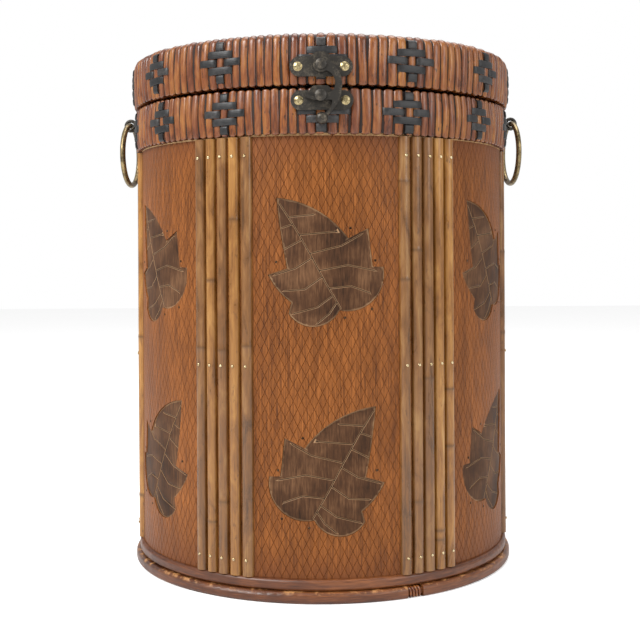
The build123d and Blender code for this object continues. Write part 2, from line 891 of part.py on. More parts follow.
save(latch_plate(), "latch_plate")
save(catch_plate(), "catch_plate")
save(pivot_rivet(), "pivot_rivet")
save(catch_post(), "catch_post")
save(swing_arm(), "swing_arm")
save(group(screws_on(screw_spots(latch_plate_centre), lid_radius)), "latch_screws")
save(group(screws_on(screw_spots(catch_plate_centre), rim_radius)), "catch_screws")

save(hinge_leaf(-1, 0), "hinge_leaf_body")
save(hinge_leaf(1, 1), "hinge_leaf_lid")
save(hinge_pin(), "hinge_pin")
save(group([hinge_screw(*spot) for spot in hinge_spots(-1)]), "hinge_screws_body")
save(group([hinge_screw(*spot) for spot in hinge_spots(1)]), "hinge_screws_lid")

for name, hand in (("left", -1), ("right", 1)):
    save(turned(handle_ring(), hand * handle_angle), f"ring_{name}")
    save(turned(handle_eye(), hand * handle_angle), f"handle_eye_{name}")
save(group([turned(handle_nut(), hand * handle_angle) for hand in (-1, 1)]), "handle_nuts")


def clear_of(strips, tools):
    """The strips, cut back where a plate, an eye or the hinge sits on the band."""
    kept = []
    for strip in strips:
        kept.extend(piece for piece in strip.cut(*tools).solids() if piece.volume > smallest_strip)
    return kept


handle_rooms = [
    turned(peg(eye_plate_radius + 0.3, rim_radius - 5, rim_radius + 5, 0, eye_height()), hand * handle_angle)
    for hand in (-1, 1)
]
rim_plate = stadium(catch_plate_length + 0.6, catch_plate_width + 0.6, catch_plate_centre)
lid_plate = stadium(latch_plate_length + 0.6, latch_plate_width + 0.6, latch_plate_centre)
rim_boss = Pos(*latch_point(*post_place)) * Circle(catch_boss_radius + 0.3)
lid_boss = Pos(*latch_point(0, 0)) * Circle(latch_boss_radius + 0.3)
rim_room = extrude(front_plane(rim_radius - 8) * (rim_plate + rim_boss), 16)
lid_room = extrude(front_plane(lid_radius - 8) * (lid_plate + lid_boss), 16)
save(group(clear_of(rim_strips, handle_rooms + [hinge_seat(), rim_room])), "rim_weavers")
save(group(clear_of(lid_strips, [hinge_seat(), lid_room])), "lid_weavers")
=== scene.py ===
import bpy
import bmesh
import math
import numpy as np
from mathutils import Matrix, Vector
from mathutils.geometry import delaunay_2d_cdt


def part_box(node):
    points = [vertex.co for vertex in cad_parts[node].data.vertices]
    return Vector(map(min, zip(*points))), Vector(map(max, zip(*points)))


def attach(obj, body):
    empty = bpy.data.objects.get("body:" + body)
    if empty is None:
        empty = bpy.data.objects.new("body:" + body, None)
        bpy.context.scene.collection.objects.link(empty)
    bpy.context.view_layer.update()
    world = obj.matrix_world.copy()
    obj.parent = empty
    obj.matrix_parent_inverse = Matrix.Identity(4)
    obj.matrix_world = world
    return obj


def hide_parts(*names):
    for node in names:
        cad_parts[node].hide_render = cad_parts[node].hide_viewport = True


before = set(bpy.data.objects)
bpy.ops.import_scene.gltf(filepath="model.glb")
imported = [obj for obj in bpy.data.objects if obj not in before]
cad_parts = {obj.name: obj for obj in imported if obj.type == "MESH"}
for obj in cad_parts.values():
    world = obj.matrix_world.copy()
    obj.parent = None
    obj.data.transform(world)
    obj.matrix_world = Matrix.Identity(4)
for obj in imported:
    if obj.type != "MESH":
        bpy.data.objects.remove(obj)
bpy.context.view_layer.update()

# Base: two bent softwood hoops, stained walnut brown and lacquered, glued round the foot of the drum.
# Steam-bent strip shows long grain along its bend and darker pores; the lower hoop's top edge is worn pale.
MM = 0.001
wear_foot = 5.6 * MM
wear_top = 7.2 * MM
hoop_joint = 7.6 * MM


def linear(hex_colour):
    """An sRGB hex colour as the linear RGBA that a shader takes."""
    parts = [int(hex_colour[i:i + 2], 16) / 255 for i in (1, 3, 5)]
    return [c / 12.92 if c <= 0.04045 else ((c + 0.055) / 1.055) ** 2.4 for c in parts] + [1.0]


def add(tree, kind, inputs=None, **settings):
    """One node with its settings; an input is a value, or another node's output to link."""
    made = tree.nodes.new(kind)
    for name, value in settings.items():
        setattr(made, name, value)
    for key, value in (inputs or {}).items():
        if isinstance(value, bpy.types.NodeSocket):
            tree.links.new(value, made.inputs[key])
        else:
            made.inputs[key].default_value = value
    return made


def ramp(tree, factor, *stops):
    """A colour ramp over (place, hex colour) stops."""
    made = add(tree, "ShaderNodeValToRGB", {"Fac": factor})
    elements = made.color_ramp.elements
    while len(elements) < len(stops):
        elements.new(0.5)
    for element, (place, colour) in zip(elements, stops):
        element.position = place
        element.color = linear(colour)
    return made.outputs["Color"]


def blended(tree, factor, one, two, mode="MIX"):
    made = add(tree, "ShaderNodeMix", data_type="RGBA", blend_type=mode)
    for socket, value in zip((made.inputs[0], made.inputs[6], made.inputs[7]), (factor, one, two)):
        if isinstance(value, bpy.types.NodeSocket):
            tree.links.new(value, socket)
        else:
            socket.default_value = value
    return made.outputs[2]


def stretched(tree, x, y, z):
    """Object coordinates times a count of cells per metre along each axis."""
    place = add(tree, "ShaderNodeTexCoord").outputs["Object"]
    return add(tree, "ShaderNodeMapping", {"Vector": place, "Scale": (x, y, z)}).outputs["Vector"]


def noise(tree, vector, detail=3.0, roughness=0.55, distortion=0.0):
    sockets = {"Vector": vector, "Scale": 1.0, "Detail": detail, "Roughness": roughness,
               "Distortion": distortion}
    return add(tree, "ShaderNodeTexNoise", sockets).outputs["Fac"]


def attribute(tree, name):
    return add(tree, "ShaderNodeAttribute", attribute_name=name).outputs["Fac"]


def blank_material(name):
    made = bpy.data.materials.new(name)
    made.use_nodes = True
    return made, made.node_tree, made.node_tree.nodes["Principled BSDF"]


def surface(tree, shader, colour, roughness, height=None, strength=0.2, distance=0.2 * MM, **fixed):
    """Wires a finish to the shader: colour, roughness and a bump, with the rest as plain values."""
    tree.links.new(colour, shader.inputs["Base Color"])
    if isinstance(roughness, bpy.types.NodeSocket):
        tree.links.new(roughness, shader.inputs["Roughness"])
    else:
        shader.inputs["Roughness"].default_value = roughness
    for name, value in fixed.items():
        shader.inputs[name.replace("_", " ")].default_value = value
    if height is not None:
        bump = add(tree, "ShaderNodeBump", {"Height": height, "Strength": strength, "Distance": distance})
        tree.links.new(bump.outputs["Normal"], shader.inputs["Normal"])


def remapped(tree, value, low, high, to_low=0.0, to_high=1.0):
    sockets = {"Value": value, "From Min": low, "From Max": high, "To Min": to_low, "To Max": to_high}
    return add(tree, "ShaderNodeMapRange", sockets).outputs["Result"]


def multiplied(tree, one, two):
    return add(tree, "ShaderNodeMath", {0: one, 1: two}, operation="MULTIPLY").outputs["Value"]


def stained_hoop_wood():
    made, tree, shader = blank_material("bent_softwood_walnut_stain")
    pores = noise(tree, stretched(tree, 90, 90, 1400), 5, 0.6)
    patches = noise(tree, stretched(tree, 22, 22, 60), 3)
    tone = blended(tree, 0.5, pores, patches)
    colour = ramp(tree, tone, (0.32, "#2E1508"), (0.5, "#5F3319"), (0.68, "#8A5229"))
    height = add(tree, "ShaderNodeSeparateXYZ",
                 {"Vector": add(tree, "ShaderNodeTexCoord").outputs["Object"]}).outputs["Z"]
    scuffs = noise(tree, stretched(tree, 160, 160, 160), 4, 0.7)
    low_edge = remapped(tree, height, wear_foot, wear_top)
    wear = multiplied(tree, low_edge, remapped(tree, scuffs, 0.5, 0.62))
    past = remapped(tree, height, hoop_joint, hoop_joint + 0.3 * MM, 1.0, 0.0)
    wear = multiplied(tree, wear, past)
    colour = blended(tree, wear, colour, linear("#C08A55"))
    surface(tree, shader, colour, remapped(tree, scuffs, 0.3, 0.7, 0.3, 0.48), tone, 0.35,
            Coat_Weight=0.12, Coat_Roughness=0.3)
    return made


hoop_wood = stained_hoop_wood()


def finish(node, material):
    """Gives a CAD node its real finish."""
    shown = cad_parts[node]
    shown.data.materials.clear()
    shown.data.materials.append(material)


for node in ("base_moulding_lower", "base_moulding_upper", "lid_moulding"):
    finish(node, hoop_wood)


# Wall, base board and inner hoops: 3 mm birch ply, bent and glued, left bare with a sealer.
# It gives pale, even faces with a fine upright grain; it shows only with the lid open and from below.
def birch_ply():
    made, tree, shader = blank_material("sealed_birch_plywood")
    grain = noise(tree, stretched(tree, 260, 260, 18), 4, 0.6)
    cloud = noise(tree, stretched(tree, 14, 14, 9), 2)
    colour = ramp(tree, blended(tree, 0.5, grain, cloud), (0.3, "#8E6A42"), (0.5, "#B48E60"),
                  (0.7, "#CDAA7C"))
    surface(tree, shader, colour, 0.6, grain, 0.25)
    return made


ply = birch_ply()
for node in ("base_board", "drum_wall", "rim_hoop", "lid_hoop"):
    finish(node, ply)


# Panels: six curved sheets of lacquered veneer, scored by hand with a diamond lattice, 13 across.
# Each has two pockets sunk in it for the leaves, and painted shade darkens it towards its borders, where the
# poles, rim and base meet it.
def new_piece(name, points, faces, materials, smooth=None, marks=None):
    """A mesh object from points and faces, with named values stored on its points."""
    mesh = bpy.data.meshes.new(name)
    mesh.from_pydata([tuple(p) for p in points], [], [tuple(int(i) for i in f) for f in faces])
    for material in materials:
        mesh.materials.append(material)
    shape = bmesh.new()
    shape.from_mesh(mesh)
    bmesh.ops.recalc_face_normals(shape, faces=shape.faces[:])
    shape.to_mesh(mesh)
    shape.free()
    for label, values in (marks or {}).items():
        mesh.attributes.new(label, "FLOAT", "POINT").data.foreach_set("value", np.asarray(values, "f"))
    if smooth is not None:
        mesh.shade_smooth()
        if smooth < 180:
            mesh.set_sharp_from_angle(angle=math.radians(smooth))
    made = bpy.data.objects.new(name, mesh)
    bpy.context.scene.collection.objects.link(made)
    return made


def place(spot):
    """Angle round the drum, height and radius to a point, with the front at -Y."""
    angle, height, radius = spot
    return (radius * math.sin(angle), -radius * math.cos(angle), height)


panel_angle = math.radians(60)
pattern_turn = math.radians(1.3)
panel_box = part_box("panel_front")
panel_low, panel_high = panel_box[0][2], panel_box[1][2]
panel_outer = -panel_box[0][1]
panel_inner = panel_outer - 3.2 * MM
pocket_floor = panel_outer - 1.7 * MM
half_joint = 0.15 * MM
panel_half = panel_angle / 2 - half_joint / panel_outer
painted_shade_reach = 22 * MM
diamonds_across = 13
diamond_height = 21.5 * MM
groove_half = 0.26 * MM
groove_depth = 0.28 * MM
leaf_heights = {"upper": 218 * MM, "lower": 83.4 * MM}
leaf_hands = {"upper": 1, "lower": -1}


def arc_points(start, through, end, count):
    """Points on the circle through three points, from the first to the last."""
    (ax, ay), (bx, by), (cx, cy) = start, through, end
    d = 2 * (ax * (by - cy) + bx * (cy - ay) + cx * (ay - by))
    ux = ((ax**2 + ay**2) * (by - cy) + (bx**2 + by**2) * (cy - ay) + (cx**2 + cy**2) * (ay - by)) / d
    uy = ((ax**2 + ay**2) * (cx - bx) + (bx**2 + by**2) * (ax - cx) + (cx**2 + cy**2) * (bx - ax)) / d
    radius = math.hypot(ax - ux, ay - uy)
    a0 = math.atan2(ay - uy, ax - ux)
    a1 = math.atan2(by - uy, bx - ux)
    a2 = math.atan2(cy - uy, cx - ux)
    full = 2 * math.pi
    if (a1 - a0) % full > (a2 - a0) % full:
        sweep = (a2 - a0) % full - full
    else:
        sweep = (a2 - a0) % full
    return [(ux + radius * math.cos(a0 + sweep * i / count), uy + radius * math.sin(a0 + sweep * i / count))
            for i in range(count)]


def leaf_outline(hand):
    """The leaf's edge in metres about its centre, tip up on the left, or mirrored."""
    pieces = [
        arc_points((-31.9, 41.6), (-5.9, 33.5), (14.4, 15.3), 16),
        [(14.4, 15.3)],
        arc_points((27.5, 21.8), (28.9, 9.6), (30.4, -3.0), 6),
        [(30.4, -3.0)],
        arc_points((37.6, -3.3), (30.6, -25.0), (8.5, -31.1), 14),
        arc_points((8.5, -31.1), (-8.6, -41.6), (-24.5, -33.1), 14),
        [(-24.5, -33.1)],
        arc_points((-22.6, -25.9), (-31.5, -17.6), (-37.6, -7.9), 7),
        [(-37.6, -7.9)],
        arc_points((-25.2, -4.0), (-29.2, 18.5), (-31.9, 41.6), 14),
    ]
    points = [(x * MM, y * MM) for piece in pieces for x, y in piece]
    return points if hand > 0 else [(-x, y) for x, y in reversed(points)]


def inside(x, y, ring):
    """Whether a point lies within a closed outline."""
    hit = False
    for (x0, y0), (x1, y1) in zip(ring, ring[1:] + ring[:1]):
        if (y0 > y) != (y1 > y) and x < (x1 - x0) * (y - y0) / (y1 - y0) + x0:
            hit = not hit
    return hit


def trimmed(mesh, point, normal):
    """Cuts away all that lies past a plane."""
    geometry = mesh.verts[:] + mesh.edges[:] + mesh.faces[:]
    bmesh.ops.bisect_plane(mesh, geom=geometry, plane_co=point, plane_no=normal, clear_outer=True, dist=1e-7)


def lattice_sheet(x_half, low, high, pitch_x, pitch_y):
    """A flat face of the lattice: one quad grid along the grooves, cut to a rectangle."""
    half = groove_half * math.hypot(pitch_y / pitch_x, 1) / pitch_y
    reach_x, reach_low, reach_high = x_half / pitch_x, low / pitch_y, high / pitch_y
    first, last = math.floor(reach_low - reach_x) - 1, math.ceil(reach_high + reach_x) + 1
    u_values = [k + s * half for k in range(first, last + 1) for s in (-1, 0, 1)]
    mesh = bmesh.new()
    mark = mesh.verts.layers.float.new("groove")
    cells = {}

    def corner(i, j):
        if (i, j) not in cells:
            u, v = u_values[i], u_values[j]
            depth = max(0.0, 1 - abs(u - round(u)) / half, 1 - abs(v - round(v)) / half)
            vert = mesh.verts.new(((u - v) / 2 * pitch_x, (u + v) / 2 * pitch_y, -groove_depth * depth))
            vert[mark] = depth
            cells[(i, j)] = vert
        return cells[(i, j)]

    margin = max(pitch_x, pitch_y) * 1.2
    for i in range(len(u_values) - 1):
        for j in range(len(u_values) - 1):
            u, v = (u_values[i] + u_values[i + 1]) / 2, (u_values[j] + u_values[j + 1]) / 2
            x, y = (u - v) / 2 * pitch_x, (u + v) / 2 * pitch_y
            if abs(x) < x_half + margin and low - margin < y < high + margin:
                mesh.faces.new([corner(i, j), corner(i + 1, j), corner(i + 1, j + 1), corner(i, j + 1)])
    for point, normal in (((x_half, 0, 0), (1, 0, 0)), ((-x_half, 0, 0), (-1, 0, 0)),
                          ((0, low, 0), (0, -1, 0)), ((0, high, 0), (0, 1, 0))):
        trimmed(mesh, point, normal)
    return mesh, mark


def closed_slab(mesh, mark, thickness):
    """Closes a face into a slab: the same faces at its back, and its border joined."""
    front = mesh.faces[:]
    twin = {}
    for vert in mesh.verts[:]:
        other = mesh.verts.new((vert.co.x, vert.co.y, -thickness))
        other[mark] = 0
        twin[vert] = other
    border = [edge for edge in mesh.edges if len(edge.link_faces) == 1]
    for edge in border:
        loop = edge.link_loops[0]
        a, b = loop.vert, loop.link_loop_next.vert
        mesh.faces.new([b, a, twin[a], twin[b]])
    for face in front:
        mesh.faces.new([twin[v] for v in reversed(face.verts)])


def cut_pockets(sheet, rings, depth):
    """Saws each outline into the face of a slab, to a depth."""
    for ring in rings:
        count = len(ring)
        points = [(x, y, z) for z in (-depth, 5 * MM) for x, y in ring]
        faces = [tuple(reversed(range(count))), tuple(range(count, 2 * count))]
        faces += [(i, (i + 1) % count, (i + 1) % count + count, i + count) for i in range(count)]
        bar = new_piece("pocket_bar", points, faces, [])
        cut = sheet.modifiers.new("pocket", "BOOLEAN")
        cut.operation = "DIFFERENCE"
        cut.solver = "EXACT"
        cut.object = bar
        sawn = sheet.evaluated_get(bpy.context.evaluated_depsgraph_get())
        mesh = bpy.data.meshes.new_from_object(sawn)
        sheet.modifiers.remove(cut)
        sheet.data = mesh
        bpy.data.objects.remove(bar)


def panel_mesh():
    """Points, faces and marks of the panel at the front, sawn flat and then bent to the drum."""
    arc_half = panel_half * panel_outer
    pitch_x = panel_angle * panel_outer / diamonds_across / 2
    mesh, mark = lattice_sheet(arc_half, panel_low, panel_high, pitch_x, diamond_height / 2)
    closed_slab(mesh, mark, panel_outer - panel_inner)
    data = bpy.data.meshes.new("panel_blank")
    mesh.to_mesh(data)
    mesh.free()
    blank = bpy.data.objects.new("panel_blank", data)
    bpy.context.scene.collection.objects.link(blank)
    rings = [[(math.asin(x / panel_outer) * panel_outer, y + leaf_heights[label])
              for x, y in leaf_outline(hand)]
             for label, hand in leaf_hands.items()]
    cut_pockets(blank, rings, panel_outer - pocket_floor)
    points, groove, shade = [], [], []
    for vert in blank.data.vertices:
        x, y, z = vert.co
        points.append(place((x / panel_outer, y, panel_outer + z)))
        # Points below the groove bottoms, on the pocket walls and floor, get 0.6: painted shade in the
        # pockets.
        groove.append(max(0.0, min(1.0, -z / groove_depth)) if z > -groove_depth * 1.05 else 0.6)
        # Painted shade: the shade mark rises towards the panel's borders, by the poles, the rim and the
        # base.
        border = min(x + arc_half, arc_half - x, y - panel_low, panel_high - y)
        shade.append(max(0.0, 1 - border / painted_shade_reach))
    faces = [tuple(p.vertices) for p in blank.data.polygons]
    bpy.data.objects.remove(blank)
    return np.array(points), faces, {"groove": groove, "shade": shade}


def lacquered_veneer():
    made, tree, shader = blank_material("scored_lacquered_veneer")
    fibres = noise(tree, stretched(tree, 1300, 1300, 60), 4, 0.65)
    figure = noise(tree, stretched(tree, 120, 120, 14), 4, 0.6, 0.6)
    cloud = noise(tree, stretched(tree, 16, 16, 12), 3)
    tone = blended(tree, 0.4, fibres, blended(tree, 0.45, figure, cloud))
    colour = ramp(tree, tone, (0.36, "#4C270C"), (0.5, "#7B4619"), (0.64, "#9F5F2A"))
    # Painted shade along the panel's borders, made ragged by the figure noise.
    painted_shade = remapped(tree, attribute(tree, "shade"), 0.0, 1.0, 0.0, 0.75)
    ragged_painted_shade = multiplied(tree, painted_shade, remapped(tree, figure, 0.35, 0.65, 0.5, 1.2))
    colour = blended(tree, ragged_painted_shade, colour, linear("#6A3A1B"))
    # Painted shade in the scored grooves, uneven in strength.
    painted_groove_shade_strength = remapped(tree, noise(tree, stretched(tree, 60, 60, 40), 2), 0.38, 0.6, 0.3, 0.75)
    scored = multiplied(tree, attribute(tree, "groove"), painted_groove_shade_strength)
    colour = blended(tree, scored, colour, linear("#4A2510"))
    surface(tree, shader, colour, remapped(tree, fibres, 0.3, 0.7, 0.38, 0.55), fibres, 0.35,
            Specular_IOR_Level=0.25)
    return made


veneer = lacquered_veneer()
panel_points, panel_faces, panel_marks = panel_mesh()
panel_sides = ["front", "front_right", "back_right", "back", "back_left", "front_left"]


def turned(points, angle):
    c, s = math.cos(angle), math.sin(angle)
    return np.asarray(points) @ np.array([[c, s, 0], [-s, c, 0], [0, 0, 1]])


for index, side in enumerate(panel_sides):
    turn = pattern_turn + panel_angle * index
    sheet = new_piece(f"scored_panel_{side}", turned(panel_points, turn), panel_faces, [veneer], 25,
                      panel_marks)
    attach(sheet, "chest_body")
    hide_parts(f"panel_{side}")


# Leaves: twelve plaques of dark-stained veneer, glued in the pockets, their veins cut with a V-tool.
# The cuts are painted dark as shade between shoulders painted pale as highlight; the rim is painted lighter
# as a highlight.
vein_half = 0.55 * MM
vein_depth = 0.4 * MM
leaf_top = pocket_floor + 0.9 * MM
leaf_play = 0.15
leaf_reach = 37.6
rim_wear_and_highlight_width = 2.2 * MM
rubbed_depth = 0.25 * MM
mesh_cell = 3.1 * MM
midrib = [(-30.1, 38.0), (-20.3, 22.6), (-9.8, 4.2), (-0.7, -12.8), (9.2, -29.5)]
side_veins = [
    [(-24.4, 29.0), (-8.0, 30.5)],
    [(-17.5, 17.5), (6.0, 19.5)],
    [(-10.5, 5.5), (10.0, 10.5), (22.5, 17.5)],
    [(-4.5, -5.5), (14.0, -2.0), (31.0, -5.5)],
    [(2.0, -17.0), (16.0, -15.5), (28.5, -20.0)],
    [(-21.5, 24.5), (-28.8, 22.0)],
    [(-15.5, 14.5), (-27.8, 8.0)],
    [(-9.0, 2.8), (-20.0, -4.0), (-33.0, -8.0)],
    [(-2.5, -9.5), (-14.0, -17.5), (-27.5, -18.5)],
    [(4.5, -21.5), (-6.0, -29.0), (-21.0, -33.0)],
    [(7.0, -25.5), (2.0, -33.0), (-5.5, -39.0)],
]


def leaf_mesh(hand):
    """One leaf about its own centre: carved face, sunk rim with its painted highlight mark, back and edge.
    """
    ring = leaf_outline(hand)
    shrink = 1 - leaf_play / leaf_reach
    ring = [(x * shrink, y * shrink) for x, y in ring]
    veins = []
    for line in [midrib] + side_veins:
        line = [(hand * x * MM, y * MM) for x, y in line]
        veins.extend(zip(line, line[1:]))
    points, edges = [], []

    def segment(a, b):
        points.extend([Vector(a), Vector(b)])
        edges.append((len(points) - 2, len(points) - 1))

    for a, b in zip(ring, ring[1:] + ring[:1]):
        segment(a, b)
    for a, b in veins:
        ax, ay, bx, by = *a, *b
        length = math.hypot(bx - ax, by - ay)
        nx, ny = (ay - by) / length * vein_half, (bx - ax) / length * vein_half
        for side in (-1, 0, 1):
            segment((ax + nx * side, ay + ny * side), (bx + nx * side, by + ny * side))
    for row in range(-14, 15):
        for column in range(-13, 14):
            x, y = (column + 0.5 * (row % 2)) * mesh_cell, row * mesh_cell
            if inside(x, y, ring):
                points.append(Vector((x, y)))
    flat, _, faces, *_ = delaunay_2d_cdt(points, edges, [], 0, 1e-7)

    def depth(x, y):
        best = 0.0
        for (ax, ay), (bx, by) in veins:
            dx, dy = bx - ax, by - ay
            t = max(0.0, min(1.0, ((x - ax) * dx + (y - ay) * dy) / (dx * dx + dy * dy)))
            best = max(best, 1 - math.hypot(x - ax - t * dx, y - ay - t * dy) / vein_half)
        return max(0.0, best)

    def rim(x, y):
        near = min(math.hypot(x - ax - t * (bx - ax), y - ay - t * (by - ay))
                   for (ax, ay), (bx, by) in zip(ring, ring[1:] + ring[:1])
                   for t in (0.0, 0.5, 1.0))
        return max(0.0, 1 - near / rim_wear_and_highlight_width)

    kept = [f for f in faces if inside(sum(flat[i].x for i in f) / 3, sum(flat[i].y for i in f) / 3, ring)]
    used = sorted({i for f in kept for i in f})
    number = {old: new for new, old in enumerate(used)}
    face_points, marks, rims = [], [], []
    for i in used:
        x, y = flat[i]
        mark = depth(x, y)
        # Near the rim the face sinks a little, and the rim mark carries a painted highlight.
        rim_wear_and_highlight = rim(x, y)
        face_points.append((x, y, leaf_top - vein_depth * mark - rubbed_depth * max(0, rim_wear_and_highlight - 0.6)))
        marks.append(mark)
        rims.append(rim_wear_and_highlight)
    count = len(used)
    face_points += [(x, y, pocket_floor) for x, y, _ in face_points]
    marks += [0] * count
    rims += [1] * count
    made = [[number[i] for i in f] for f in kept]
    border = {(a, b): True for f in made for a, b in zip(f, f[1:] + f[:1])}
    backs = [[i + count for i in reversed(f)] for f in made]
    sides = [[b, a, a + count, b + count] for a, b in border if (b, a) not in border]
    return face_points, made + backs + sides, {"groove": marks, "rim": rims}


def dark_leaf_veneer():
    made, tree, shader = blank_material("dark_stained_leaf_veneer")
    fibres = noise(tree, stretched(tree, 900, 900, 90), 4, 0.65)
    cloud = noise(tree, stretched(tree, 45, 45, 45), 3)
    tone = blended(tree, 0.5, fibres, cloud)
    colour = ramp(tree, tone, (0.34, "#2B1B10"), (0.5, "#4E3320"), (0.66, "#735238"))
    # Painted light and shade in the vein cuts: pale shoulders as a painted highlight, dark bottoms as
    # painted shade.
    carved = ramp(tree, attribute(tree, "groove"), (0.0, "#6A4E38"), (0.2, "#B08B66"), (0.7, "#1E110A"))
    cut = remapped(tree, attribute(tree, "groove"), 0.02, 0.2)
    colour = blended(tree, cut, colour, carved)
    # Painted highlight: the leaf's rim is painted lighter, patchy with the cloud noise.
    pale_patches = multiplied(tree, remapped(tree, attribute(tree, "rim"), 0.55, 0.95),
                        remapped(tree, cloud, 0.35, 0.6, 0.35, 0.95))
    colour = blended(tree, pale_patches, colour, linear("#A88663"))
    surface(tree, shader, colour, remapped(tree, fibres, 0.3, 0.7, 0.5, 0.68), fibres, 0.4,
            Specular_IOR_Level=0.15)
    return made


leaf_veneer = dark_leaf_veneer()
for label, hand in leaf_hands.items():
    flat_leaf, leaf_faces, leaf_marks = leaf_mesh(hand)
    standing = [place((math.asin(x / panel_outer), y + leaf_heights[label], radius))
                for x, y, radius in flat_leaf]
    for index, side in enumerate(panel_sides):
        turn = pattern_turn + panel_angle * index
        plaque = new_piece(f"carved_leaf_{label}_{side}", turned(standing, turn), leaf_faces,
                           [leaf_veneer], 30, leaf_marks)
        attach(plaque, "chest_body")
        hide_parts(f"leaf_{label}_{side}")


# Poles: thirty bamboo canes split in half, five to a group, lacquered and nailed over the panels' joints.
# Each is a little different in width, with low, darker rings at its joints and brown mottling.
pole_half = 4.1 * MM
pole_rise = 3.7 * MM
pole_seat = panel_outer + 0.05 * MM
pole_names = ["front_right", "right", "back_right", "back_left", "left", "front_left"]
pole_pitch = math.radians(3.8)
poles_in_group = 5
joint_length = 0.0045
dent_length = 0.004
dent_after = 0.009


def pole_angle(group, member):
    return pattern_turn + panel_angle * (group + 0.5) + pole_pitch * (member - poles_in_group // 2)


def bamboo_pole(angle, seed):
    """Points, faces and joint marks of one half-round cane, closed at both ends and its back."""
    local = np.random.default_rng(seed)
    joints = sorted(local.uniform(0.05, 0.95, local.integers(1, 3)))
    heights = np.linspace(0, 1, 61)
    near = [[j - dent_length, j, j + dent_length, j + dent_after] for j in joints]
    heights = np.clip(np.sort(np.concatenate([heights] + near)), 0, 1)
    steps = 12
    points, mark = [], []
    sway = local.uniform(0, 6.28, 3)
    slim = local.uniform(0.93, 1.0)
    for h in heights:
        ring = sum(math.exp(-((h - j) / joint_length) ** 2) for j in joints)
        dent = sum(math.exp(-((h - j - dent_after) / dent_length) ** 2) for j in joints)
        wide = pole_half * slim * (0.975 + 0.02 * math.sin(h * 9 + sway[0]) + 0.025 * ring - 0.02 * dent)
        rise = pole_rise * (0.94 + 0.02 * math.sin(h * 7 + sway[1]) + 0.05 * ring - 0.03 * dent)
        z = panel_low + h * (panel_high - panel_low)
        for k in range(steps + 1):
            a = math.pi * k / steps
            x = wide * math.cos(a)
            y = -(pole_seat + rise * math.sin(a) ** 0.85)
            points.append((x, y, z))
            mark.append(min(1.0, ring))
    row = steps + 1
    faces = []
    for i in range(len(heights) - 1):
        for k in range(steps):
            faces.append((i * row + k, (i + 1) * row + k, (i + 1) * row + k + 1, i * row + k + 1))
        faces.append((i * row + steps, (i + 1) * row + steps, (i + 1) * row, i * row))
    faces.append(tuple(range(row)))
    last = (len(heights) - 1) * row
    faces.append(tuple(reversed(range(last, last + row))))
    return turned(points, angle), faces, mark


def lacquered_bamboo():
    made, tree, shader = blank_material("lacquered_split_bamboo")
    each = add(tree, "ShaderNodeNewGeometry").outputs["Random Per Island"]
    fibres = noise(tree, stretched(tree, 1600, 1600, 26), 3, 0.6)
    mottle = noise(tree, stretched(tree, 130, 130, 30), 4, 0.62, 0.8)
    long_tone = noise(tree, stretched(tree, 75, 75, 9), 2)
    tone = blended(tree, 0.45, mottle, blended(tree, 0.55, long_tone, fibres))
    colour = ramp(tree, tone, (0.33, "#573313"), (0.47, "#905F27"), (0.58, "#AE7B3A"), (0.72, "#CDA468"))
    greyed = ramp(tree, tone, (0.33, "#402811"), (0.5, "#7A5026"), (0.7, "#A57C48"))
    colour = blended(tree, remapped(tree, each, 0.35, 0.75), colour, greyed)
    spots = remapped(tree, noise(tree, stretched(tree, 300, 300, 120), 3, 0.7), 0.62, 0.72, 0.0, 0.7)
    colour = blended(tree, spots, colour, linear("#4F3015"))
    rings = remapped(tree, attribute(tree, "joint"), 0.1, 0.9, 0.0, 0.75)
    colour = blended(tree, rings, colour, linear("#5A3A1A"))
    surface(tree, shader, colour, remapped(tree, mottle, 0.3, 0.7, 0.24, 0.4), fibres, 0.2,
            Coat_Weight=0.25, Coat_Roughness=0.18)
    return made


bamboo = lacquered_bamboo()
for group, name in enumerate(pole_names):
    points, faces, marks = [], [], []
    for member in range(poles_in_group):
        cane, cane_faces, cane_marks = bamboo_pole(pole_angle(group, member), 40 + group * 5 + member)
        faces += [tuple(i + len(points) for i in f) for f in cane_faces]
        points += list(cane)
        marks += cane_marks
    canes = new_piece(f"bamboo_poles_{name}", points, faces, [bamboo], 50, {"joint": marks})
    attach(canes, "chest_body")
    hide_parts(f"poles_{name}")


# Nails: ninety round-head brass pins hold the poles, and sixty small dark brads hold the panels.
# A brass head is a low turned dome, still bright; a brad's head is flatter and has blackened.
def brushed_brass(name, light, dark, roughness):
    made, tree, shader = blank_material(name)
    grime = noise(tree, stretched(tree, 700, 700, 700), 4, 0.6)
    surface(tree, shader, ramp(tree, grime, (0.35, dark), (0.6, light)), roughness, grime, 0.15,
            Metallic=1.0)
    return made


head_sink = 0.2 * MM


def nail_head(name, radius, rise, rings=4, around=14):
    """A closed dome on the XY plane, its top towards +Z."""
    points, faces = [(0, 0, rise)], []
    for r in range(1, rings + 1):
        a = r / rings * math.pi / 2
        for k in range(around):
            t = 2 * math.pi * k / around
            points.append((radius * math.sin(a) * math.cos(t), radius * math.sin(a) * math.sin(t),
                           rise * math.cos(a)))
    points.append((0, 0, -head_sink))
    for k in range(around):
        n = (k + 1) % around
        faces.append((0, 1 + k, 1 + n))
        for r in range(rings - 1):
            a, b = 1 + r * around, 1 + (r + 1) * around
            faces.append((a + k, b + k, b + n, a + n))
        last = 1 + (rings - 1) * around
        faces.append((len(points) - 1, last + n, last + k))
    return new_piece(name, points, faces, [], 180)


def nodes_tree(name, *inputs):
    """An empty Geometry Nodes tree with a geometry in and out, and the named inputs."""
    tree = bpy.data.node_groups.new(name, "GeometryNodeTree")
    tree.interface.new_socket("Geometry", in_out="INPUT", socket_type="NodeSocketGeometry")
    for label, kind in inputs:
        tree.interface.new_socket(label, in_out="INPUT", socket_type=kind)
    tree.interface.new_socket("Geometry", in_out="OUTPUT", socket_type="NodeSocketGeometry")
    return tree, add(tree, "NodeGroupInput").outputs, add(tree, "NodeGroupOutput")


